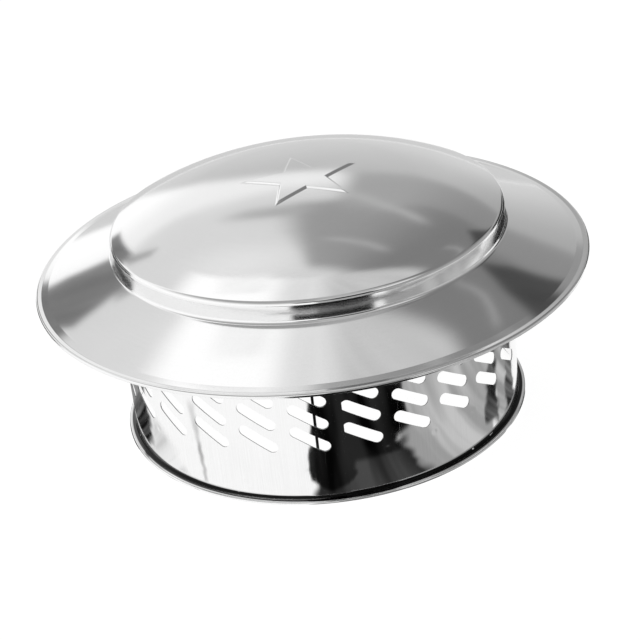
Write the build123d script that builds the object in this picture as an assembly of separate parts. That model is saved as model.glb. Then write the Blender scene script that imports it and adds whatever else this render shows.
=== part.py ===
from build123d import *
from math import asin, cos, degrees, radians, sin
import os

# Chimney cap for a 160 mm flue: a stamped disc with a shallow dome and a sloping brim, carried by a slotted
# sheet collar that pushes over the flue's end. Millimetres, +Z up, origin on the axis at the collar's foot.
# Azimuths run from the front (-Y) towards +X.

# Driving dimensions
flue_diameter = 160.0
fit_clearance = 0.4
cap_height = 100.0
cap_sheet = 0.5
collar_sheet = 0.4
brim_radius = 112.0

# Cap: section from the crown outwards, measured on the outer surface
crown_radius = 310.0
crown_turn = 8.0
dome_side_radius = 111.0
step_radius = 79.4
shoulder_fillet = 2.6
step_wall = 5.0
foot_fillet = 1.8
brim_slope = 21.5
flange_fillet = 2.0
flange_slope = 15.0
flange_width = 2.5
lip_fillet = 1.2
lip_rise = 3.0
lip_width = 1.3
brim_hem_radius = 0.9
brim_hem_return = 2.4

# Star pressed into the crown
star_radius = 23.5
star_notch_radius = 9.8
star_first_point = 26.6
star_relief = 0.7
star_sheet_edge = 0.6

# Collar: section from the foot upwards
bore_radius = flue_diameter / 2 + fit_clearance / 2
wall_radius = bore_radius + collar_sheet
neck_radius = step_radius - cap_sheet
foot_width = 3.0
foot_hem_radius = 0.75
foot_hem_return = 1.4
foot_fillet_radius = 1.35
straight_top = 21.0
neck_bottom = 72.0
collar_top = 83.6

# Slots in the collar
slot_columns = 25
slot_rows = 4
slot_length = 17.0
slot_width = 4.6
slot_fall = 31.1
slot_first_row = 27.8
slot_row_pitch = 9.5
slot_first_azimuth = 8.6

# Lap joint of the rolled strip
lap_outer_edge = 3.6
lap_inner_edge = -4.4
lap_inner_margin = 1.1
lap_outer_start = -9.6
lap_spread = 1.9
lap_layer = 0.33

slot_column_pitch = 360 / slot_columns
cutter_reach = 6.0


def heading(angle):
    """A direction in the section plane, in degrees from straight outwards."""
    return (cos(radians(angle)), sin(radians(angle)))


def trace(start, angle, steps, inset=0.0):
    """A smooth line of runs and arcs. A run is a length, and an arc is a radius with a signed turn.
    The line is kept inset to the right of the one that the steps describe."""
    edges = []
    point = Vector(*start) + Vector(*heading(angle - 90)) * inset
    for step in steps:
        if isinstance(step, tuple):
            radius, turn = step
            radius += inset if turn > 0 else -inset
            edge = JernArc(point, heading(angle), radius, turn)
            angle += turn
        else:
            edge = Line(point, point + Vector(*heading(angle)) * step)
        edges.append(edge)
        point = edge @ 1
    return edges


def sheet_section(start, angle, steps, thickness):
    """Closed section of a sheet that keeps its thickness along the steps."""
    outer = trace(start, angle, steps)
    inner = trace(start, angle, steps, thickness)
    ends = [Line(outer[0] @ 0, inner[0] @ 0), Line(outer[-1] @ 1, inner[-1] @ 1)]
    return Plane.XZ * make_face(outer + inner + ends)


def cap_steps():
    """The cap's outer surface from the crown to the folded end of the rim's hem."""
    shoulder_centre = step_radius - shoulder_fillet
    crown_share = (crown_radius - dome_side_radius) * sin(radians(crown_turn))
    dome_turn = degrees(asin((shoulder_centre - crown_share) / (dome_side_radius - shoulder_fillet)))
    slope = radians(brim_slope)
    fall = radians(flange_slope)
    rise = radians(lip_rise)
    flange = flange_fillet * (sin(slope) - sin(fall)) + flange_width * cos(fall)
    lip = lip_fillet * (sin(fall) + sin(rise)) + lip_width * cos(rise)
    rim = flange + lip + brim_hem_radius * (1 + sin(rise))
    brim_start = step_radius + foot_fillet * (1 - sin(slope))
    return [
        (crown_radius, -crown_turn),
        (dome_side_radius, crown_turn - dome_turn),
        (shoulder_fillet, dome_turn - 90),
        step_wall,
        (foot_fillet, 90 - brim_slope),
        (brim_radius - rim - brim_start) / cos(slope),
        (flange_fillet, brim_slope - flange_slope),
        flange_width,
        (lip_fillet, flange_slope + lip_rise),
        lip_width,
        (brim_hem_radius, -180),
        brim_hem_return,
    ]


def dome_shell(lift, depth):
    """The part of the crown that lies between two copies of the dome's arc, lift above it and depth below it."""
    dome = [(crown_radius, -crown_turn)]
    upper = trace((0, cap_height), 0, dome, -lift)
    lower = trace((0, cap_height), 0, dome, depth)
    ends = [Line(upper[0] @ 0, lower[0] @ 0), Line(upper[-1] @ 1, lower[-1] @ 1)]
    return revolve(Plane.XZ * make_face(upper + lower + ends), Axis.Z)


def star_prism(shrink):
    """An upright five-pointed star, drawn in from its outline by shrink."""
    corners = []
    for k in range(10):
        radius = star_radius - 2 * shrink if k % 2 == 0 else star_notch_radius - shrink
        azimuth = radians(star_first_point + 36 * k)
        corners.append((radius * cos(azimuth), radius * sin(azimuth)))
    outline = Polyline(*corners, close=True)
    return Pos(0, 0, cap_height - 15) * extrude(make_face(outline), 20)


def make_cap():
    """The stamped disc, with a star pressed up through the crown so that the sheet stays even."""
    disc = revolve(sheet_section((0, cap_height), 0, cap_steps(), cap_sheet), Axis.Z)
    raised = dome_shell(star_relief, cap_sheet / 2) & star_prism(0)
    pressed = dome_shell(star_relief - cap_sheet, 2 * cap_sheet) & star_prism(star_sheet_edge)
    return disc + raised - pressed


def wall_outline():
    """Radius and height of the wall's outer surface above the foot: straight, drawn in, then the neck."""
    foot_top = 2 * foot_hem_radius + foot_fillet_radius
    return [(wall_radius, foot_top), (wall_radius, straight_top), (neck_radius, neck_bottom), (neck_radius, collar_top)]


def foot_steps():
    """The out-turned foot from the wall's end to the folded end of its hem, running downwards."""
    shelf = foot_width - foot_fillet_radius - foot_hem_radius
    return [(foot_fillet_radius, 90), shelf, (foot_hem_radius, -180), foot_hem_return]


def wall_section(outline, thickness):
    """Closed section of a wall whose outer surface is the outline."""
    inner = [(radius - thickness, height) for radius, height in reversed(outline)]
    return Plane.XZ * make_face(Polyline(*outline, *inner, close=True))


def slot_cutter(azimuth, height):
    """One slanted slot with round ends, falling to the right as seen from outside."""
    face = Plane(origin=(0, -bore_radius, height), x_dir=(1, 0, 0), z_dir=(0, -1, 0))
    slot = face * SlotOverall(slot_length, slot_width, rotation=-slot_fall)
    return Rot(0, 0, azimuth) * extrude(slot, cutter_reach, both=True)


def slot_column(azimuth):
    """One column of slots, from the bottom row up."""
    return [slot_cutter(azimuth, slot_first_row + row * slot_row_pitch) for row in range(slot_rows)]


def turned(section, first, last, offset=0.0):
    """The section revolved from one azimuth to another, about an upright line that is offset towards +X."""
    return Pos(offset, 0, 0) * Rot(0, 0, first - 90) * revolve(section, Axis.Z, last - first)


def lap_margin():
    """The narrow upright edge of the strip's inner end, which the slots behind the lap stop short of."""
    left = wall_radius * sin(radians(lap_inner_edge))
    corner = Pos(left, -wall_radius - cutter_reach, 0)
    return corner * Box(lap_inner_margin, 2 * cutter_reach, collar_top, align=(Align.MIN, Align.MIN, Align.MIN))


def make_collar():
    """The slotted ring with its foot. At the lap the strip's outer end rides up over its inner end."""
    outline = wall_outline()
    first_gap = slot_first_azimuth + slot_column_pitch / 2
    lap_column = slot_column(slot_first_azimuth - slot_column_pitch)
    wall = turned(wall_section(outline, collar_sheet), first_gap, first_gap + 360)
    for column in range(slot_columns - 1):
        wall -= slot_column(slot_first_azimuth + column * slot_column_pitch)
    wall -= [slot - lap_margin() for slot in lap_column]

    lift = collar_sheet - lap_spread * sin(radians(lap_outer_edge))
    lifted_outline = [(radius + lift, height) for radius, height in outline[:3]]
    outer_end = turned(wall_section(lifted_outline, lap_layer), lap_outer_start, lap_outer_edge, lap_spread)
    outer_end -= lap_column

    foot = revolve(sheet_section(outline[0], -90, foot_steps(), collar_sheet), Axis.Z)
    return wall + foot + outer_end


os.makedirs("parts", exist_ok=True)
for name, build in (("cap", make_cap), ("collar", make_collar)):
    shape = build()
    shape.label = name
    export_step(shape, f"parts/{name}.step")
    box = shape.bounding_box()
    print(name, len(shape.solids()), "solids", round(shape.volume), "mm3", box.min, box.max)
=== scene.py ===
import bpy
from math import asin, atan2, ceil, cos, degrees, exp, hypot, pi, radians, sin, sqrt, tan
from mathutils import Matrix, Vector, noise
from mathutils.geometry import delaunay_2d_cdt


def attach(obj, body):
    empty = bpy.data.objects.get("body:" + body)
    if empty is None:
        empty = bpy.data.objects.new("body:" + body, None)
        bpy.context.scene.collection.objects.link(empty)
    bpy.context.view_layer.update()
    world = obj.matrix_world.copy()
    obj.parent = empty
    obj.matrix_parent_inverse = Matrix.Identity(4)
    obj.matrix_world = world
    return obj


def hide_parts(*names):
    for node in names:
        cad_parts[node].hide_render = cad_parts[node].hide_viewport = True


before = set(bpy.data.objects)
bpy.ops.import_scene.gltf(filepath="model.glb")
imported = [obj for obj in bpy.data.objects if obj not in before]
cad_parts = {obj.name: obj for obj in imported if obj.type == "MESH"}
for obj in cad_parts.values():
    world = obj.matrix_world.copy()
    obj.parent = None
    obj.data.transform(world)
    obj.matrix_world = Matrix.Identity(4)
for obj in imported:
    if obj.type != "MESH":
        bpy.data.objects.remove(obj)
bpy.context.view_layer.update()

# Chimney cap: the stamped cap and the rolled, slotted collar as fine sheet meshes of bright steel.
# Lengths are in millimetres and become metres when a mesh is made. Azimuths run from the front, -Y, to +X.
MM = 0.001

# Cap: section from the crown outwards, measured on the outer surface
cap_height = 100.0
cap_sheet = 0.5
brim_radius = 112.0
crown_radius = 310.0
crown_turn = 8.0
dome_side_radius = 111.0
step_radius = 79.4
shoulder_fillet = 2.6
step_wall = 5.0
foot_fillet = 1.8
brim_slope = 21.5
flange_fillet = 2.0
flange_slope = 15.0
flange_width = 2.5
lip_fillet = 1.2
lip_rise = 3.0
lip_width = 1.3
brim_hem_radius = 0.9
brim_hem_return = 2.4

# Star pressed into the crown
star_radius = 23.5
star_notch_radius = 9.8
star_first_point = 26.6
star_relief = 0.7
star_ramp = 0.62

# Collar: section from the foot upwards
bore_radius = 80.2
collar_sheet = 0.4
wall_radius = bore_radius + collar_sheet
neck_radius = step_radius - cap_sheet
foot_width = 3.0
foot_hem_radius = 0.75
foot_hem_return = 1.4
foot_fillet_radius = 1.35
foot_top = 2 * foot_hem_radius + foot_fillet_radius
straight_top = 21.0
neck_bottom = 72.0
collar_top = 83.6
knee_width = 1.5

# Slots in the collar
slot_columns = 25
slot_rows = 4
slot_length = 17.0
slot_width = 4.6
slot_fall = 31.1
slot_first_row = 27.8
slot_row_pitch = 9.5
slot_first_azimuth = 8.6
slot_column_pitch = 360 / slot_columns

# Dimples that the punch leaves under the columns
dimple_height = 19.0
dimple_first_azimuth = 0.6
dimple_depth = 0.09
dimple_size = 1.1

# Lap joint of the rolled strip
lap_outer_edge = 3.6
lap_inner_edge = -4.4
lap_inner_margin = 1.1
lap_rise_start = -9.6
lap_rise_end = -5.2
lap_lift = 0.38

# Height of the brim's surface, carried on inwards to the step
brim_level = 76.83

# Faint unevenness of the sheet: depth and size of the waves, and where they die out
cap_wave = (0.05, 38.0)
cap_ripple = (0.012, 14.0)
cap_calm_rim = (104.0, 109.0)
cap_thinning = 0.01
wall_wave_depth = 0.07
wall_wave_width = 17.0
wall_wave_height = 30.0
column_bend = 0.03

# Fineness of the meshes. A section's fineness is its largest turn in degrees and its longest run.
azimuth_steps = 400
cap_outer_fineness = (6.0, 2.6)
cap_inner_fineness = (12.0, 4.5)
foot_outer_fineness = (6.0, 1.2)
foot_inner_fineness = (10.0, 1.2)
wall_grid = 2.2
slot_end_steps = 12
slot_side_steps = 5
slot_margin = 0.7
dimple_rings = 4
dimple_spokes = 10
dimple_margin = 0.6
sharp_angle = 35.0

# Steel finishes: tones as shares of white, noise scales per metre or radian, bump in metres
satin_tone = (0.85, 0.92)
satin_roughness = (0.085, 0.125)
satin_bump = 2.5e-6
ring_scale = 1400.0
ring_tone = (0.97, 1.0)
grain_scale = 1300.0
grain_tone = (0.97, 1.03)
polished_tone = (0.88, 0.94)
polished_roughness = (0.06, 0.09)
polished_bump = 2e-6
rolling_line_scale = 260.0
rolling_line_tone = (0.96, 1.0)
scuff_roughness = 0.22
cut_edge_tone = 0.30
# Painted shade for the crevice round the collar's foot, standing in for its dark reflections
crevice_painted_shade = 0.012
mean_steel_tone = 0.87

# Floor: its glow is what the camera and the steel see, and the rest of it takes the shadow
floor_half = 8000.0
floor_level = -0.05
floor_glow = 1.23
floor_glow_share = 0.75

# Fineness of the cards that the steel mirrors
card_columns = 56
card_rows = 72

# Camera, from the fit of the object's circles
view_elevation = 27.71
view_roll = 6.615
view_distance = 730.44
view_aim = Vector((0.73, -12.35, 42.27))
lens_length = 101.25
sensor_width = 36.0


def smooth(value, low, high):
    """Zero below low, one above high and an even rise between them."""
    t = min(max((value - low) / (high - low), 0.0), 1.0)
    return t * t * (3 - 2 * t)


def knee(value, width):
    """Zero below zero and value above it, with a round corner."""
    if value <= -width:
        return 0.0
    if value >= width:
        return value
    return (value + width) ** 2 / (4 * width)


class SheetMesh:
    """Faces with a true normal at each corner, on shared vertices."""

    def __init__(self):
        self.points = []
        self.index = {}
        self.faces = []
        self.normals = []
        self.cut_faces = []

    def vertex(self, point):
        key = (round(point.x, 4), round(point.y, 4), round(point.z, 4))
        if key not in self.index:
            self.index[key] = len(self.points)
            self.points.append(point * MM)
        return self.index[key]

    def face(self, corners):
        """Adds one face from its (point, normal) corners, turned so that it faces the way its normals do."""
        kept = []
        for point, normal in corners:
            v = self.vertex(point)
            if v not in [k[0] for k in kept]:
                kept.append((v, point, normal))
        if len(kept) < 3:
            return
        a, b, c = kept[0][1], kept[1][1], kept[2][1]
        if (b - a).cross(c - a).dot(kept[0][2] + kept[1][2] + kept[2][2]) < 0:
            kept.reverse()
        self.faces.append([k[0] for k in kept])
        self.normals.extend(k[2] for k in kept)

    def flat_face(self, points):
        """Adds one flat face where the sheet is cut."""
        normal = (points[1] - points[0]).cross(points[2] - points[0])
        if normal.length < 1e-9:
            normal = (points[2] - points[0]).cross(points[3] - points[0])
        normal.normalize()
        self.cut_faces.append(len(self.faces))
        self.face([(p, normal) for p in points])

    def grid(self, rings):
        """Joins rings of (point, normal) corners into a surface that closes on itself."""
        for lower, upper in zip(rings, rings[1:]):
            for j in range(azimuth_steps):
                k = (j + 1) % azimuth_steps
                self.face([lower[j], lower[k], upper[k], upper[j]])

    def split(self):
        """Starts a part that shares no vertices with the ones before it."""
        self.index = {}

    def build(self, name):
        mesh = bpy.data.meshes.new(name)
        mesh.from_pydata(self.points, [], self.faces)
        mesh.shade_smooth()
        mesh.set_sharp_from_angle(angle=radians(sharp_angle))
        mesh.normals_split_custom_set([tuple(n) for n in self.normals])
        cut = mesh.attributes.new("cut", "FLOAT", "FACE")
        for face in self.cut_faces:
            cut.data[face].value = 1.0
        piece = bpy.data.objects.new(name, mesh)
        bpy.context.scene.collection.objects.link(piece)
        return piece


def trace(start, angle, steps, inset, arc_step, run_step):
    """Points and headings along a smooth line of runs and arcs, moved to its right by the inset."""
    r = start[0] + inset * cos(radians(angle - 90))
    z = start[1] + inset * sin(radians(angle - 90))
    line = [(r, z, angle)]
    for step in steps:
        if isinstance(step, tuple):
            radius, turn = step
            side = 1 if turn > 0 else -1
            radius += side * inset
            centre_r = r - side * radius * sin(radians(angle))
            centre_z = z + side * radius * cos(radians(angle))
            count = max(2, ceil(abs(turn) / arc_step), ceil(abs(radians(turn)) * radius / run_step))
            for k in range(1, count + 1):
                a = radians(angle + turn * k / count)
                r = centre_r + side * radius * sin(a)
                z = centre_z - side * radius * cos(a)
                line.append((r, z, degrees(a)))
            angle += turn
        else:
            count = ceil(step / run_step)
            for k in range(1, count + 1):
                line.append((line[-1][0] + step / count * cos(radians(angle)),
                             line[-1][1] + step / count * sin(radians(angle)), angle))
            r, z = line[-1][:2]
    return line


def around(azimuth, radius, height):
    return Vector((radius * sin(azimuth), -radius * cos(azimuth), height))


def dented(point, normal, field):
    """Moves a point along its normal by a field of small dents, and tilts the normal to match."""
    reach = 0.25
    height = field(point)
    slope = Vector([(field(point + axis * reach) - height) / reach for axis in Matrix.Identity(3)])
    slope -= normal * slope.dot(normal)
    return point + normal * height, (normal - slope).normalized()


def cap_dents(point):
    """Faint unevenness of spun sheet, which dies out at the rim."""
    wave = cap_wave[0] * noise.noise(point / cap_wave[1])
    ripple = cap_ripple[0] * noise.noise(point / cap_ripple[1] + Vector((5, 2, 8)))
    free = 1 - smooth(hypot(point.x, point.y), *cap_calm_rim)
    return free * (wave + ripple) - cap_thinning


def cap_steps():
    """The cap's outer surface from the crown to the folded end of the rim's hem."""
    shoulder_centre = step_radius - shoulder_fillet
    crown_share = (crown_radius - dome_side_radius) * sin(radians(crown_turn))
    dome_turn = degrees(asin((shoulder_centre - crown_share) / (dome_side_radius - shoulder_fillet)))
    slope = radians(brim_slope)
    fall = radians(flange_slope)
    rise = radians(lip_rise)
    flange = flange_fillet * (sin(slope) - sin(fall)) + flange_width * cos(fall)
    lip = lip_fillet * (sin(fall) + sin(rise)) + lip_width * cos(rise)
    rim = flange + lip + brim_hem_radius * (1 + sin(rise))
    brim_start = step_radius + foot_fillet * (1 - sin(slope))
    return [
        (crown_radius, -crown_turn),
        (dome_side_radius, crown_turn - dome_turn),
        (shoulder_fillet, dome_turn - 90),
        step_wall,
        (foot_fillet, 90 - brim_slope),
        (brim_radius - rim - brim_start) / cos(slope),
        (flange_fillet, brim_slope - flange_slope),
        flange_width,
        (lip_fillet, flange_slope + lip_rise),
        lip_width,
        (brim_hem_radius, -180),
        brim_hem_return,
    ]


star_edge = hypot(star_radius - star_notch_radius * cos(pi / 5), star_notch_radius * sin(pi / 5))
star_inradius = star_radius * star_notch_radius * sin(pi / 5) / star_edge
star_mesh_radius = 16.0
star_morph_end = 2.6


def star_reach(turn):
    """Distance from the middle to the star's outline, at an angle measured from its first point."""
    fold = abs((turn + pi / 5) % (2 * pi / 5) - pi / 5)
    edge_x = star_notch_radius * cos(pi / 5) - star_radius
    edge_y = star_notch_radius * sin(pi / 5)
    return star_radius * edge_y / (edge_y * cos(fold) - edge_x * sin(fold))


def star_height(x, y):
    """Relief of the star at a place on the crown."""
    turn = atan2(y, x) - radians(star_first_point)
    inside = star_inradius * (1 - hypot(x, y) / star_reach(turn))
    return star_relief * smooth(inside, -star_ramp, star_ramp)


def crown_scales():
    """Sizes of the crown's rings against the star's own outline, close together where the relief rises."""
    inner = [0.12 * k for k in range(1, 8)]
    rise = [0.1, 0.35, 0.6, 0.85, 1.1, 1.5]
    ramp = [1 + star_ramp / star_inradius * t for t in [-t for t in reversed(rise)] + rise]
    outer = [1.12 + (star_morph_end - 1.12) * (k / 9) for k in range(10)]
    return inner + ramp + outer


def crown_rings(depth):
    """Rings of the crown at a depth under its surface: along the star near it, and round further out."""
    radius = crown_radius - depth
    middle = cap_height - crown_radius
    side = 1 if depth == 0 else -1

    def height(x, y):
        return middle + sqrt(radius ** 2 - x * x - y * y) + star_height(x, y)

    def corner(x, y):
        step = 0.02
        slope_x = (height(x + step, y) - height(x - step, y)) / (2 * step)
        slope_y = (height(x, y + step) - height(x, y - step)) / (2 * step)
        normal = Vector((-slope_x, -slope_y, 1)).normalized()
        point, normal = dented(Vector((x, y, height(x, y))), normal, cap_dents)
        return point, normal * side

    rings = [[corner(0.0, 0.0)] * azimuth_steps]
    for scale in crown_scales():
        blend = smooth(scale, 1.08, star_morph_end)
        ring = []
        for j in range(azimuth_steps):
            turn = 2 * pi * j / azimuth_steps
            reach = (1 - blend) * scale * star_reach(turn) + blend * scale * star_mesh_radius
            angle = turn + radians(star_first_point)
            ring.append(corner(reach * cos(angle), reach * sin(angle)))
        rings.append(ring)
    return rings


def section_rings(line, side, field):
    """Rings of corners for the points of a section line. side is 1 where its left is outside, or else -1."""
    rings = []
    for r, z, angle in line:
        out, up = -sin(radians(angle)) * side, cos(radians(angle)) * side
        ring = []
        for j in range(azimuth_steps):
            a = 2 * pi * j / azimuth_steps + radians(star_first_point + 90)
            ring.append(dented(around(a, r, z), around(a, out, up), field))
        rings.append(ring)
    return rings


def join_edges(sheet, first, second):
    """Closes the sheet's cut end between two rings."""
    for j in range(azimuth_steps):
        k = (j + 1) % azimuth_steps
        sheet.flat_face([first[j][0], first[k][0], second[k][0], second[j][0]])


def make_cap():
    """The stamped disc, closed from the crown's outside round the rim's hem to the crown's inside."""
    steps = cap_steps()
    turn = radians(crown_turn)
    start = (crown_radius * sin(turn), cap_height - crown_radius * (1 - cos(turn)))
    outer = trace(start, -crown_turn, steps[1:], 0.0, *cap_outer_fineness)
    inner = trace(start, -crown_turn, steps[1:], cap_sheet, *cap_inner_fineness)
    sheet = SheetMesh()
    outer_rings = crown_rings(0.0) + section_rings(outer, 1, cap_dents)
    inner_rings = crown_rings(cap_sheet) + section_rings(inner, -1, cap_dents)
    sheet.grid(outer_rings)
    sheet.grid(inner_rings)
    join_edges(sheet, outer_rings[-1], inner_rings[-1])
    return sheet.build("cap_sheet")


def wall_line(height):
    """Radius of the wall's outer surface at a height."""
    taper = (wall_radius - neck_radius) / (neck_bottom - straight_top)
    tapered = knee(height - straight_top, knee_width) - knee(height - neck_bottom, knee_width)
    return wall_radius - taper * tapered


def dimple(azimuth, height):
    """How far a place on the strip is pressed in by the dimple nearest to it."""
    turn = (azimuth - dimple_first_azimuth) / slot_column_pitch
    across = radians((turn - round(turn)) * slot_column_pitch) * wall_radius
    return dimple_depth * exp(-(hypot(across, height - dimple_height) / dimple_size) ** 2)


def wall_dents(point):
    """Unevenness of the rolled strip, which bends a little more at each column of slots."""
    azimuth = degrees(atan2(point.x, -point.y))
    column = cos(radians((azimuth - slot_first_azimuth) * slot_columns))
    band = smooth(point.z, 18, 34) * (1 - smooth(point.z, 58, 72))
    free = smooth(point.z, foot_top, 12) * (1 - smooth(point.z, 66, 76))
    along = Vector((point.x / wall_wave_width, point.y / wall_wave_width, point.z / wall_wave_height))
    wave = wall_wave_depth * noise.noise(along)
    return free * (wave + column_bend * band * column) - dimple(azimuth, point.z)


def wall_point(turn, height):
    """A place on the strip's outer surface. turn is in degrees along the strip from the front."""
    a = radians(turn)
    lift = lap_lift * smooth(turn, 360 + lap_rise_start, 360 + lap_rise_end)
    flat = around(a, wall_line(height), height)
    return flat + around(a, 1, 0) * (lift + wall_dents(flat))


def wall_corner(turn, height):
    """Outer corner and inner corner of the strip at one place."""
    step = 0.05
    along = wall_point(turn + step, height) - wall_point(turn - step, height)
    upward = wall_point(turn, height + step) - wall_point(turn, height - step)
    normal = along.cross(upward).normalized()
    point = wall_point(turn, height)
    return (point, normal), (point - normal * collar_sheet, -normal)


def slot_outline(azimuth, height):
    """Outline of one slot on the flat strip, as (millimetres along, height)."""
    middle = radians(azimuth) * wall_radius
    half = (slot_length - slot_width) / 2
    fall = radians(-slot_fall)
    points = []
    for end in (1, -1):
        for k in range(slot_end_steps + 1):
            a = radians(-90 + 180 / slot_end_steps * k)
            points.append((end * (half + slot_width / 2 * cos(a)), end * slot_width / 2 * sin(a)))
        for k in range(1, slot_side_steps):
            points.append((end * (half - 2 * half * k / slot_side_steps), end * slot_width / 2))
    c, s = cos(fall), sin(fall)
    return [(middle + u * c - v * s, height + u * s + v * c) for u, v in points]


def cut_left(outline, limit):
    """The part of an outline that lies right of a limit."""
    kept = []
    for (x0, y0), (x1, y1) in zip(outline, outline[1:] + outline[:1]):
        if x0 >= limit:
            kept.append((x0, y0))
        if (x0 - limit) * (x1 - limit) < 0:
            kept.append((limit, y0 + (y1 - y0) * (limit - x0) / (x1 - x0)))
    return kept


def strip_slots():
    """Every slot of the strip. The inner end keeps a narrow upright margin, and its slots stop there."""
    slots = []
    for row in range(slot_rows):
        height = slot_first_row + row * slot_row_pitch
        for column in range(slot_columns):
            slots.append(slot_outline(slot_first_azimuth + column * slot_column_pitch, height))
        margin = radians(lap_inner_edge) * wall_radius + lap_inner_margin
        slots.append(cut_left(slot_outline(slot_first_azimuth - slot_column_pitch, height), margin))
    return slots


def near_slot(x, y):
    """Whether a grid point would crowd a slot's outline."""
    row = round((y - slot_first_row) / slot_row_pitch)
    for r in (row - 1, row, row + 1):
        if not 0 <= r < slot_rows:
            continue
        v = y - slot_first_row - r * slot_row_pitch
        u = x - radians(slot_first_azimuth) * wall_radius
        pitch = radians(slot_column_pitch) * wall_radius
        u -= round(u / pitch) * pitch
        fall = radians(slot_fall)
        along, across = u * cos(fall) - v * sin(fall), u * sin(fall) + v * cos(fall)
        beyond = max(abs(along) - (slot_length - slot_width) / 2, 0)
        if hypot(beyond, across) < slot_width / 2 + slot_margin:
            return True
    return False


def dimple_points():
    """Close points round each dimple of the flat strip."""
    points = []
    for column in range(slot_columns):
        x = radians(dimple_first_azimuth + column * slot_column_pitch) * wall_radius
        points.append((x, dimple_height))
        for ring in range(1, dimple_rings + 1):
            reach = ring * dimple_size / 2
            for k in range(dimple_spokes):
                angle = 2 * pi * (k + ring / 2) / dimple_spokes
                points.append((x + reach * cos(angle), dimple_height + reach * sin(angle)))
    return points


def near_dimple(x, y):
    """Whether a grid point would crowd the points round a dimple."""
    pitch = radians(slot_column_pitch) * wall_radius
    u = x - radians(dimple_first_azimuth) * wall_radius
    reach = dimple_rings * dimple_size / 2 + dimple_margin
    return hypot(u - round(u / pitch) * pitch, y - dimple_height) < reach


def make_wall(sheet):
    """The slotted strip, triangulated flat and then rolled so that its ends lap."""
    left = radians(lap_inner_edge) * wall_radius
    right = radians(360 + lap_outer_edge) * wall_radius
    columns = ceil((right - left) / wall_grid)
    rows = ceil((collar_top - foot_top) / wall_grid)
    xs = [left + (right - left) * k / columns for k in range(columns + 1)]
    ys = [foot_top + (collar_top - foot_top) * k / rows for k in range(rows + 1)]
    border = [(x, ys[0]) for x in xs] + [(xs[-1], y) for y in ys[1:]] \
        + [(x, ys[-1]) for x in reversed(xs[:-1])] + [(xs[0], y) for y in reversed(ys[1:-1])]
    points = list(border)
    loops = [list(range(len(border)))]
    for outline in strip_slots():
        loops.append(list(range(len(points), len(points) + len(outline))))
        points += outline
    points += [(x, y) for x in xs[1:-1] for y in ys[1:-1] if not near_slot(x, y) and not near_dimple(x, y)]
    points += [(x, y) for x, y in dimple_points() if xs[0] < x < xs[-1]]
    flat, _, triangles, _, _, sources = delaunay_2d_cdt([Vector(p) for p in points], [], loops, 1, 1e-5)
    kept = [t for t, source in zip(triangles, sources) if source == [0]]
    corners = {}
    sides = {}
    for triangle in kept:
        for v in triangle:
            if v not in corners:
                corners[v] = wall_corner(degrees(flat[v].x / wall_radius), flat[v].y)
        sides.update(dict.fromkeys(zip(triangle, triangle[1:] + triangle[:1])))
        sheet.face([corners[v][0] for v in triangle])
        sheet.face([corners[v][1] for v in triangle])
    for a, b in sides:
        if (b, a) not in sides:
            (outer_a, inner_a), (outer_b, inner_b) = corners[a], corners[b]
            sheet.flat_face([outer_b[0], outer_a[0], inner_a[0], inner_b[0]])


def make_foot(sheet):
    """The out-turned foot with its folded hem."""
    shelf = foot_width - foot_fillet_radius - foot_hem_radius
    steps = [(foot_fillet_radius, 90), shelf, (foot_hem_radius, -180), foot_hem_return]
    outer = trace((wall_radius, foot_top), -90, steps, 0.0, *foot_outer_fineness)
    inner = trace((wall_radius, foot_top), -90, steps, collar_sheet, *foot_inner_fineness)
    outer_rings = section_rings(outer, 1, lambda point: 0.0)
    inner_rings = section_rings(inner, -1, lambda point: 0.0)
    sheet.grid(outer_rings)
    sheet.grid(inner_rings)
    join_edges(sheet, outer_rings[-1], inner_rings[-1])
    join_edges(sheet, outer_rings[0], inner_rings[0])


def make_collar():
    sheet = SheetMesh()
    make_wall(sheet)
    sheet.split()
    make_foot(sheet)
    return sheet.build("collar_sheet")


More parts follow.
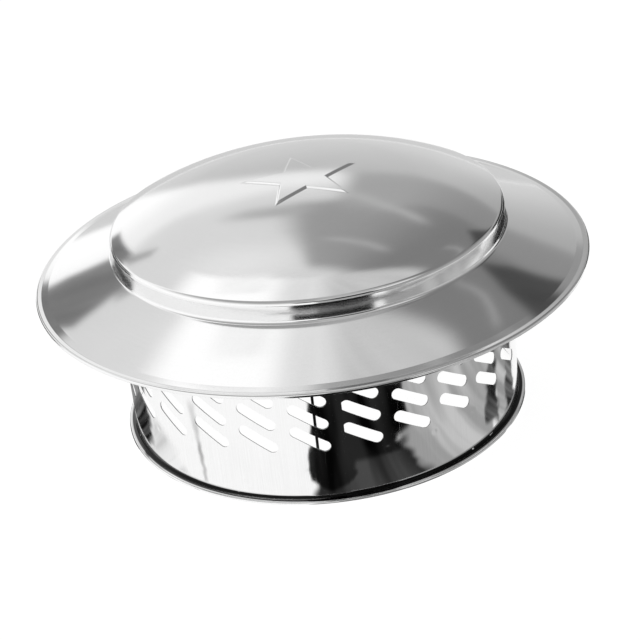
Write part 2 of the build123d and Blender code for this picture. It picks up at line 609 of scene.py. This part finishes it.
class Nodes:
    """Short calls for a node tree."""

    def __init__(self, tree):
        self.tree = tree
        tree.nodes.clear()

    def add(self, kind, **settings):
        node = self.tree.nodes.new(kind)
        for key, value in settings.items():
            setattr(node, key, value)
        return node

    def put(self, socket, value):
        if isinstance(value, bpy.types.NodeSocket):
            self.tree.links.new(value, socket)
        else:
            socket.default_value = value

    def math(self, operation, *values):
        node = self.add("ShaderNodeMath", operation=operation)
        for socket, value in zip(node.inputs, values):
            self.put(socket, value)
        return node.outputs[0]

    def times(self, first, second):
        return self.math("MULTIPLY", first, second)

    def rise(self, value, low, high, start=0.0, end=1.0):
        """An even rise from start to end as the value goes from low to high."""
        node = self.add("ShaderNodeMapRange", interpolation_type="SMOOTHSTEP")
        for socket, item in zip(node.inputs, (value, low, high, start, end)):
            self.put(socket, item)
        return node.outputs[0]

    def blend(self, share, first, second):
        """Numbers mixed by a share."""
        node = self.add("ShaderNodeMix", data_type="FLOAT")
        for socket, item in zip(node.inputs[0:1] + node.inputs[2:4], (share, first, second)):
            self.put(socket, item)
        return node.outputs[0]

    def grey(self, value):
        node = self.add("ShaderNodeCombineColor")
        for socket in node.inputs:
            self.put(socket, value)
        return node.outputs[0]

    def noise(self, vector, scale, detail=3.0, roughness=0.5):
        node = self.add("ShaderNodeTexNoise")
        self.put(node.inputs["Vector"], vector)
        node.inputs["Scale"].default_value = scale
        node.inputs["Detail"].default_value = detail
        node.inputs["Roughness"].default_value = roughness
        return node.outputs["Fac"]

    def vector(self, x, y, z):
        node = self.add("ShaderNodeCombineXYZ")
        for socket, value in zip(node.inputs, (x, y, z)):
            self.put(socket, value)
        return node.outputs[0]

    def place(self):
        """Radius, azimuth in radians and height of the shaded point, in metres."""
        split = self.add("ShaderNodeSeparateXYZ")
        self.put(split.inputs[0], self.add("ShaderNodeTexCoord").outputs["Object"])
        x, y, z = split.outputs
        radius = self.math("SQRT", self.math("ADD", self.times(x, x), self.times(y, y)))
        return radius, self.math("ARCTAN2", x, self.times(y, -1.0)), z


def new_material(name):
    material = bpy.data.materials.new(name)
    material.use_nodes = True
    return material, Nodes(material.node_tree)


def finish_steel(n, colour, roughness, height, bump_distance, anisotropy, rotation):
    """The steel shader with its colour, roughness and bump."""
    shader = n.add("ShaderNodeBsdfPrincipled")
    shader.inputs["Metallic"].default_value = 1.0
    shader.inputs["Anisotropic"].default_value = anisotropy
    shader.inputs["Anisotropic Rotation"].default_value = rotation
    n.put(shader.inputs["Base Color"], colour)
    n.put(shader.inputs["Roughness"], roughness)
    n.put(shader.inputs["Tangent"], n.add("ShaderNodeTangent", direction_type="RADIAL", axis="Z").outputs[0])
    bump = n.add("ShaderNodeBump")
    bump.inputs["Strength"].default_value = 1.0
    bump.inputs["Distance"].default_value = bump_distance
    n.put(bump.inputs["Height"], height)
    n.put(shader.inputs["Normal"], bump.outputs[0])
    output = n.add("ShaderNodeOutputMaterial")
    n.put(output.inputs["Surface"], shader.outputs[0])


def satin_steel():
    """Spun stainless sheet: fine rings round the axis, with a soft sheen."""
    material, n = new_material("satin_steel_spun")
    radius, azimuth, height = n.place()
    coords = n.add("ShaderNodeTexCoord").outputs["Object"]
    rings = n.vector(n.times(radius, ring_scale), n.times(azimuth, 2.2), n.times(height, 60.0))
    rings = n.noise(rings, 1.0, 4.0, 0.6)
    cloud = n.noise(coords, 26.0, 3.0)
    grain = n.noise(coords, grain_scale, 2.0)
    tone = n.times(n.blend(cloud, *satin_tone), n.blend(rings, *ring_tone))
    tone = n.times(tone, n.blend(grain, *grain_tone))
    roughness = n.blend(cloud, *satin_roughness)
    finish_steel(n, n.grey(tone), roughness, rings, satin_bump, 0.3, 0.0)
    return material


def foot_shadow(n, radius, azimuth, height):
    """Painted shade in the crevice round the foot, standing in for the shade and dark reflections there:
    lighter at the left, nearly black at the right, with a few breaks where the bare steel shows.
    """
    # Where the painted shade lies: the cove and the shelf under the wall's foot
    inside = n.times(n.rise(height, 2.9 * MM, 2.75 * MM), n.rise(radius, 80.45 * MM, 80.5 * MM))
    inside = n.times(inside, n.rise(radius, 82.55 * MM, 82.15 * MM))
    # Breaks in the painted shade, where the bare steel shows
    shade_breaks = n.noise(n.vector(n.times(azimuth, 14.0), n.times(height, 500.0), 0.0), 1.0, 1.0)
    inside = n.times(inside, n.rise(shade_breaks, 0.74, 0.69))
    # The shelf's painted shade: lighter at the left, darkest at the right
    painted_shelf_tone = n.times(n.rise(azimuth, -0.80, -0.36, 0.10, 0.46), n.rise(azimuth, -0.32, 0.08, 1.0, 0.04))
    shelf = n.blend(n.rise(radius, 80.9 * MM, 81.9 * MM), crevice_painted_shade, painted_shelf_tone)
    return n.blend(inside, 1.0, shelf)


def polished_steel():
    """Bright rolled stainless strip: nearly a mirror, with faint upright rolling lines and scuffs."""
    material, n = new_material("polished_steel_rolled")
    radius, azimuth, height = n.place()
    coords = n.add("ShaderNodeTexCoord").outputs["Object"]
    lines = n.vector(n.times(azimuth, rolling_line_scale), n.times(height, 30.0), n.times(radius, 100.0))
    lines = n.noise(lines, 1.0, 4.0, 0.65)
    cloud = n.noise(coords, 40.0, 3.0)
    # The crevice round the foot gets painted shade here
    tone = n.times(n.blend(cloud, *polished_tone), foot_shadow(n, radius, azimuth, height))
    tone = n.times(tone, n.blend(n.rise(lines, 0.35, 0.65), *rolling_line_tone))
    cut = n.add("ShaderNodeAttribute", attribute_name="cut").outputs["Fac"]
    tone = n.times(tone, n.blend(cut, 1.0, cut_edge_tone))
    scuffs = n.noise(n.vector(n.times(azimuth, 90.0), n.times(height, 14.0), 3.0), 1.0, 4.0, 0.7)
    scuffs = n.rise(scuffs, 0.56, 0.80, 0.0, scuff_roughness)
    roughness = n.math("ADD", n.blend(cloud, *polished_roughness), scuffs)
    finish_steel(n, n.grey(tone), roughness, lines, polished_bump, 0.2, 0.25)
    return material


def seen(grey):
    """The light level at which the steel shows a grey from 0 to 255."""
    part = grey / 255
    return (part / 12.92 if part < 0.04 else ((part + 0.055) / 1.055) ** 2.4) / mean_steel_tone


class Sky:
    """The light from above the floor, laid on in layers. Azimuths run from behind the object towards +X, and
    both angles are in degrees."""

    def __init__(self, n, azimuth, elevation):
        self.n = n
        self.azimuth = azimuth
        self.elevation = elevation
        self.light = self.upward(60, 80, seen(213), seen(204))

    def lay(self, share, light):
        """Covers the light so far by a share of another."""
        self.light = self.n.blend(share, self.light, light)

    def across(self, low, high, start=0.0, end=1.0):
        """An even rise along the azimuth."""
        return self.n.rise(self.azimuth, low, high, start, end)

    def upward(self, low, high, start=0.0, end=1.0):
        """An even rise along the elevation."""
        return self.n.rise(self.elevation, low, high, start, end)

    def window(self, left, right, low, high, side_soft, end_soft):
        """One inside a range of azimuth and elevation, with soft edges."""
        n = self.n
        across = n.times(self.across(left - side_soft, left + side_soft),
                         self.across(right - side_soft, right + side_soft, 1.0, 0.0))
        upward = n.times(self.upward(low - end_soft, low + end_soft),
                         self.upward(high - end_soft, high + end_soft, 1.0, 0.0))
        return n.times(across, upward)

    def patch(self, middle, height, half_width, half_height, turn, soft):
        """One inside a turned ellipse round a place, with a soft edge as a share of its size."""
        n = self.n
        c, s = cos(radians(turn)), sin(radians(turn))
        x, y = n.math("SUBTRACT", self.azimuth, middle), n.math("SUBTRACT", self.elevation, height)
        along = n.math("ADD", n.times(x, c / half_width), n.times(y, s / half_width))
        over = n.math("SUBTRACT", n.times(y, c / half_height), n.times(x, s / half_height))
        away = n.math("SQRT", n.math("ADD", n.times(along, along), n.times(over, over)))
        return n.rise(away, 1 - soft, 1 + soft, 1.0, 0.0)

    def corner(self, left, top, width, height, soft):
        """One below and right of a round corner, whose width and height run from where it would be square."""
        n = self.n
        past = n.math("MINIMUM", n.math("SUBTRACT", self.azimuth, left + width), 0.0)
        over = n.math("MAXIMUM", n.math("SUBTRACT", self.elevation, top - height), 0.0)
        past = n.math("POWER", n.math("ABSOLUTE", n.times(past, 1 / width)), 2.6)
        over = n.math("POWER", n.times(over, 1 / height), 2.6)
        return n.rise(n.math("ADD", past, over), 1 - soft, 1 + soft, 1.0, 0.0)

    def gap(self, first, middle, last, half_width):
        """A thin band along a curve through three (azimuth, elevation) points."""
        n = self.n
        (x0, y0), (x1, y1), (x2, y2) = first, middle, last
        slope = (y1 - y0) / (x1 - x0)
        bend = ((y2 - y1) / (x2 - x1) - slope) / (x2 - x0)
        past = n.math("SUBTRACT", self.azimuth, x0)
        curve = n.times(n.times(past, n.math("SUBTRACT", self.azimuth, x1)), bend)
        curve = n.math("ADD", n.math("ADD", n.times(past, slope), curve), y0)
        away = n.math("ABSOLUTE", n.math("SUBTRACT", self.elevation, curve))
        ends = n.times(self.across(x0 - 2, x0 + 3), self.across(x2 - 8, x2 + 2, 1.0, 0.0))
        return n.times(ends, n.rise(away, 0.1, half_width, 1.0, 0.0))


def lay_back_wall(sky):
    """The pale wall behind, dimmer at the right and white low down, with a soft lamp at its left."""
    sky.lay(sky.patch(-22, 55, 16, 8, 0, 0.9), seen(226))
    sky.lay(sky.across(-2, 40), seen(185))
    sky.lay(sky.across(96, 122), sky.upward(28, 60, seen(250), seen(170)))
    sky.lay(sky.upward(29, 24.5), sky.upward(24, 8, seen(238), seen(254)))


def lay_grey_wall(sky):
    """The grey wall at the right with its sloping top edge, and two thin light gaps in it."""
    n = sky.n
    top = n.math("ADD", 65.0, n.times(sky.azimuth, 0.17))
    wall = n.rise(n.math("SUBTRACT", sky.elevation, top), -3.5, 3.5, 1.0, 0.0)
    wall = n.times(n.times(wall, sky.across(-4.8, 0.4)), n.times(sky.upward(30.5, 33.5), sky.across(122, 96)))
    sky.lay(wall, sky.across(0, 36, seen(150), seen(121)))
    sky.lay(n.times(sky.across(3, 6), sky.upward(36, 33)), sky.across(8, 34, seen(160), seen(138)))
    sky.lay(sky.patch(-4.5, 33.5, 5, 1.6, 14, 0.5), seen(168))
    low = n.times(sky.corner(-14.0, 22.5, 26, 22.5, 0.16), sky.across(122, 96))
    sky.lay(low, sky.upward(2, 22, seen(206), seen(186)))
    sky.lay(n.times(sky.across(14, 36), sky.upward(26, 20)), seen(160))
    sky.lay(sky.gap((3, 47.5), (15, 53.2), (28, 56.8), 1.7), seen(172))
    sky.lay(sky.gap((4, 29.3), (15, 37.4), (27, 41.9), 1.7), seen(184))


def lay_left_wall(sky):
    """The white wall at the left, dimmer higher up."""
    sky.lay(sky.across(-52, -70), seen(253))
    sky.lay(sky.across(-62, -84), sky.upward(16, 56, seen(253), seen(160)))


def lay_dark_things(sky):
    """Dark things near the horizon at both sides, and a dark band in front that the step mirrors."""
    sky.lay(sky.window(-62, -35, -12, 11, 3, 3), 0.06)
    sky.lay(sky.window(29, 60, -12, 13, 3, 3), 0.02)
    sky.lay(sky.window(144, 172, 24, 43, 2, 4), 0.01)
    sky.lay(sky.window(170, 190, 26, 40, 2, 4), 0.10)
    sky.lay(sky.window(-190, -167, 26, 40, 2, 4), 0.10)


def make_world():
    """White to the camera. The steel mirrors pale walls, a grey wall at the right and a few dark things."""
    world = bpy.data.worlds.new("studio")
    bpy.context.scene.world = world
    world.use_nodes = True
    n = Nodes(world.node_tree)
    split = n.add("ShaderNodeSeparateXYZ")
    n.put(split.inputs[0], n.add("ShaderNodeTexCoord").outputs["Generated"])
    x, y, z = split.outputs
    azimuth = n.math("DEGREES", n.math("ARCTAN2", x, y))
    elevation = n.math("DEGREES", n.math("ARCSINE", z))
    sky = Sky(n, azimuth, elevation)
    lay_back_wall(sky)
    lay_grey_wall(sky)
    lay_left_wall(sky)
    lay_dark_things(sky)
    background = n.add("ShaderNodeBackground")
    camera_ray = n.add("ShaderNodeLightPath").outputs["Is Camera Ray"]
    n.put(background.inputs["Color"], n.grey(n.blend(camera_ray, sky.light, 1.0)))
    output = n.add("ShaderNodeOutputWorld")
    n.put(output.inputs["Surface"], background.outputs[0])


def add_plate(name, points, faces, material):
    """A staged sheet."""
    mesh = bpy.data.meshes.new(name)
    mesh.from_pydata(points, [], faces)
    plate = bpy.data.objects.new(name, mesh)
    bpy.context.scene.collection.objects.link(plate)
    mesh.materials.append(material)
    return plate


def make_floor():
    """A white floor that keeps a light shadow."""
    material, n = new_material("floor_white")
    path = n.add("ShaderNodeLightPath").outputs
    bounced = n.math("ADD", path["Is Glossy Ray"], path["Is Transmission Ray"])
    shown = n.math("MINIMUM", 1.0, n.math("ADD", path["Is Camera Ray"], bounced))
    diffuse = n.add("ShaderNodeBsdfDiffuse")
    diffuse.inputs["Color"].default_value = (0.9, 0.9, 0.9, 1)
    glow = n.add("ShaderNodeEmission")
    glow.inputs["Strength"].default_value = floor_glow
    mix = n.add("ShaderNodeMixShader")
    n.put(mix.inputs[0], n.times(shown, floor_glow_share))
    n.put(mix.inputs[1], diffuse.outputs[0])
    n.put(mix.inputs[2], glow.outputs[0])
    output = n.add("ShaderNodeOutputMaterial")
    n.put(output.inputs["Surface"], mix.outputs[0])
    material.cycles.emission_sampling = "NONE"
    half = floor_half * MM
    level = floor_level * MM
    corners = [(-half, -half, level), (half, -half, level), (half, half, level), (-half, half, level)]
    add_plate("floor", corners, [range(4)], material)


def camera_axes():
    """The camera's right, up and back."""
    e, roll = radians(view_elevation), radians(view_roll)
    back = Vector((0, -cos(e), sin(e)))
    level_right = Vector((1, 0, 0))
    level_up = back.cross(level_right)
    right = level_right * cos(roll) - level_up * sin(roll)
    up = level_right * sin(roll) + level_up * cos(roll)
    return right, up, back


def camera_place():
    return view_aim + camera_axes()[2] * view_distance


def make_camera():
    right, up, back = camera_axes()
    data = bpy.data.cameras.new("camera")
    data.lens = lens_length
    data.sensor_width = sensor_width
    data.clip_start = 0.01
    camera = bpy.data.objects.new("camera", data)
    turn = Matrix((right, up, back)).transposed().to_4x4()
    camera.matrix_world = Matrix.Translation(camera_place() * MM) @ turn
    bpy.context.scene.collection.objects.link(camera)
    bpy.context.scene.camera = camera


def mirrored(point, normal):
    """The way that the camera's ray goes on from a place on the object."""
    ray = (point - camera_place()).normalized()
    return ray - normal * 2 * ray.dot(normal)


def seen_on_collar(azimuth, height, level):
    """The floor point, lifted to a level, that shows at a place on the collar's wall."""
    a = radians(azimuth)
    point = around(a, wall_line(min(height, neck_bottom)), height)
    lean = wall_line(height - 0.5) - wall_line(height + 0.5)
    ray = mirrored(point, around(a, 1, lean).normalized())
    return (point + ray * ((height - level) / -ray.z)) * MM


def seen_on_brim(azimuth, radius, distance):
    """The point at a distance that shows at a place on the brim."""
    a, slope = radians(azimuth), radians(brim_slope)
    point = around(a, radius, brim_level - (radius - step_radius) * tan(slope))
    return (point + mirrored(point, around(a, sin(slope), cos(slope))) * distance) * MM


def seen_on_dome(azimuth, radius, distance):
    """The point at a distance that shows at a place on the dome's side."""
    a, turn = radians(azimuth), radians(crown_turn)
    tilt = asin(sin(turn) + (radius - crown_radius * sin(turn)) / dome_side_radius)
    drop = crown_radius * (1 - cos(turn)) + dome_side_radius * (cos(turn) - cos(tilt))
    point = around(a, radius, cap_height - drop)
    return (point + mirrored(point, around(a, sin(tilt), cos(tilt))) * distance) * MM


def add_card(name, points, covers, faces, dark, light):
    """A card that only the steel mirrors, with soft streaks that point at the object. It is clear where its
    cover is 0."""
    material, n = new_material(name + "_paint")
    radius, azimuth, height = n.place()
    across = n.vector(n.times(azimuth, 7.0), n.times(radius, 6.0), len(name))
    streaks = n.rise(n.noise(across, 1.0, 2.0, 0.5), 0.34, 0.66)
    cover = n.add("ShaderNodeAttribute", attribute_name="cover").outputs["Fac"]
    glow = n.add("ShaderNodeEmission")
    n.put(glow.inputs["Color"], n.grey(n.blend(streaks, dark, light)))
    mix = n.add("ShaderNodeMixShader")
    n.put(mix.inputs[0], n.rise(cover, 0.0, 1.0))
    n.put(mix.inputs[1], n.add("ShaderNodeBsdfTransparent").outputs[0])
    n.put(mix.inputs[2], glow.outputs[0])
    output = n.add("ShaderNodeOutputMaterial")
    n.put(output.inputs["Surface"], mix.outputs[0])
    material.cycles.emission_sampling = "NONE"
    card = add_plate(name, points, faces, material)
    card.data.attributes.new("cover", "FLOAT", "POINT").data.foreach_set("value", covers)
    card.visible_camera = False
    card.visible_diffuse = False
    card.visible_shadow = False


def depth_inside(outline, a, b, soft):
    """How deep a place lies inside an outline, as a share of the soft margin, and below zero outside."""
    nearest, inside = 1e9, False
    for (a0, b0), (a1, b1) in zip(outline, outline[1:] + outline[:1]):
        if (b0 > b) != (b1 > b) and a < a0 + (b - b0) * (a1 - a0) / (b1 - b0):
            inside = not inside
        x, y = (a - a0) / soft[0], (b - b0) / soft[1]
        along, upward = (a1 - a0) / soft[0], (b1 - b0) / soft[1]
        t = min(max((x * along + y * upward) / (along ** 2 + upward ** 2), 0.0), 1.0)
        nearest = min(nearest, hypot(x - t * along, y - t * upward))
    return nearest if inside else -nearest


def shown_card(name, show, outline, place, dark, light, soft, sway=0.0):
    """A card that the steel shows within an outline, given by azimuth and height or radius. Its place is its
    level over the floor or its distance from the steel. Its edge is soft, and sways by some degrees."""
    left = min(a for a, b in outline) - soft[0] / 2 - sway
    right = max(a for a, b in outline) + soft[0] / 2 + sway
    low = sqrt(max(min(b for a, b in outline) - soft[1] / 2, 0.5))
    high = sqrt(max(b for a, b in outline) + soft[1] / 2)
    points, covers, faces = [], [], []
    for i in range(card_columns + 1):
        for j in range(card_rows + 1):
            a = left + (right - left) * i / card_columns
            b = (low + (high - low) * j / card_rows) ** 2
            points.append(show(a, b, place))
            swayed = a + sway * noise.noise(Vector((b / 4, a / 4, len(name))))
            covers.append(min(max(0.5 + depth_inside(outline, swayed, b, soft), 0.0), 1.0))
    for i in range(card_columns):
        for j in range(card_rows):
            k = i * (card_rows + 1) + j
            face = [k, k + card_rows + 1, k + card_rows + 2, k + 1]
            if any(covers[v] > 0 for v in face):
                faces.append(face)
    add_card(name, points, covers, faces, dark, light)


def floor_card(name, outline, dark, light, level):
    """A hard-edged card on the floor with its corners in metres."""
    points = [(x, y, level * MM) for x, y in outline]
    add_card(name, points, [1.0] * len(outline), [range(len(outline))], dark, light)


def make_collar_cards():
    """Dark and grey cards on the floor, as the collar shows them. A higher level lies over a lower one."""
    far = 250.0
    shown_card("card_front_dark", seen_on_collar,
               [(-8, 10), (-9, 18), (-7, 30), (-7, 80), (-6, far), (14, far), (15, 80), (22, 62), (20.5, 50),
                (22, 27), (18, 22), (20, 17), (6, 16), (5, 8), (-1, 4)],
               0.9, 0.001, 0.02, (1.1, 2.6), 1.4)
    shown_card("card_front_near", seen_on_collar,
               [(-7, 1), (30, 1), (23, 9), (20, 22), (-5, 22), (-6, 6)],
               0.7, 0.015, 0.07, (3.0, 5.0), 1.4)
    shown_card("card_right_grey", seen_on_collar,
               [(18, 1), (53, 1), (53, 60), (51, far), (14, far), (20, 60)],
               0.5, 0.36, 0.60, (1.5, 3.0))
    shown_card("card_right_dark", seen_on_collar,
               [(50, 10), (57, 4), (56, 20), (58, 35), (57, 60), (52, 60), (53, 35), (50, 22)],
               0.9, 0.01, 0.22, (2.0, 5.0), 2.2)
    shown_card("card_far_right", seen_on_collar, [(56, 1), (63, 1), (63, 60), (56, 60)],
               0.5, 0.30, 0.60, (2.0, 3.0))
    shown_card("card_side_right", seen_on_collar, [(62, 1), (70, 1), (70, 60), (62, 60)],
               0.7, 0.01, 0.30, (2.2, 4.0), 2.2)
    shown_card("card_side_left", seen_on_collar,
               [(-86, 1), (-66, 1), (-62, 12), (-63, 30), (-64, 60), (-86, 60)],
               0.7, 0.005, 0.30, (3.0, 6.0), 2.0)
    shown_card("card_left_line", seen_on_collar,
               [(-39.4, 3), (-38.2, 3), (-38.7, 20), (-40.3, 38), (-42.0, 38), (-40.0, 20)],
               0.7, 0.45, 0.75, (1.0, 6.0), 0.5)
    shown_card("card_left_soft", seen_on_collar, [(-64, 1), (-46, 1), (-50, 14), (-60, 24)],
               0.6, 0.66, 0.96, (6.0, 8.0), 1.0)


def make_brim_cards():
    """Cards near the brim: white to grey in front, dark at both sides, with a thin streak at the right."""
    shown_card("card_brim_white", seen_on_brim, [(-37, 72), (-9, 72), (-10, 120), (-36, 120)],
               170.0, 1.15, 1.15, (9.0, 10.0))
    shown_card("card_brim_pale", seen_on_brim, [(-37, 72), (4, 72), (2, 120), (-36, 120)],
               185.0, seen(218), seen(226), (10.0, 10.0))
    shown_card("card_brim_grey", seen_on_brim,
               [(-3, 70), (13, 76), (21, 84), (26, 92), (28.5, 100), (27, 110), (26, 120), (-3, 120)],
               200.0, seen(186), seen(200), (6.0, 8.0))
    shown_card("card_brim_right", seen_on_brim, [(53, 78), (58, 88), (63, 112), (46.5, 112), (48.6, 93)],
               150.0, 0.06, 0.08, (3.0, 6.0))
    shown_card("card_brim_streak", seen_on_brim,
               [(39.6, 81), (41.6, 86), (42.0, 90.5), (40.0, 97), (37.3, 104), (39.5, 104), (42.1, 97),
                (44.1, 90.5), (43.5, 85.5), (41.6, 81)],
               150.0, 0.36, 0.36, (1.6, 4.0))
    shown_card("card_brim_left", seen_on_brim,
               [(-85, 76), (-66, 76), (-65, 103), (-69, 111), (-88, 111), (-88, 98)],
               150.0, seen(108), seen(126), (4.0, 5.0))


def make_dome_cards():
    """A pale patch on the dome's front edge and a dark one at its left."""
    shown_card("card_dome_white", seen_on_dome, [(-28, 70), (-14, 67), (-13, 78), (-27, 78)],
               150.0, 0.98, 1.05, (8.0, 5.0))
    shown_card("card_dome_left", seen_on_dome, [(-72, 77), (-68, 75), (-62, 66), (-61, 70), (-65, 77)],
               150.0, 0.28, 0.40, (3.0, 3.0))


def make_distant_cards():
    """Cards further off on the floor: one in front that the step mirrors, and three behind the object."""
    floor_card("card_front_far", [(-0.5, -0.75), (0.9, -0.75), (4.5, -4.5), (-1.5, -4.5)], 0.01, 0.03, 0.5)
    floor_card("card_behind", [(-1.2, 0.42), (2.5, 0.42), (2.5, 3.5), (-1.2, 3.5)], seen(200), seen(200), 0.5)
    floor_card("card_behind_right", [(0.15, 0.13), (0.3, 0.15), (1.5, 1.1), (0.7, 1.5)], 0.01, 0.03, 0.8)
    floor_card("card_behind_left", [(-0.2, 0.17), (-0.33, 0.11), (-1.8, 0.85), (-1.0, 1.4)], 0.03, 0.08, 0.8)


satin = satin_steel()
polished = polished_steel()

cap = make_cap()
cap.data.materials.append(satin)
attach(cap, "root")
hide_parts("cap")

collar = make_collar()
collar.data.materials.append(polished)
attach(collar, "root")
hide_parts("collar")

make_world()
make_floor()
make_collar_cards()
make_brim_cards()
make_dome_cards()
make_distant_cards()
make_camera()
bpy.context.scene.view_settings.view_transform = "Standard"
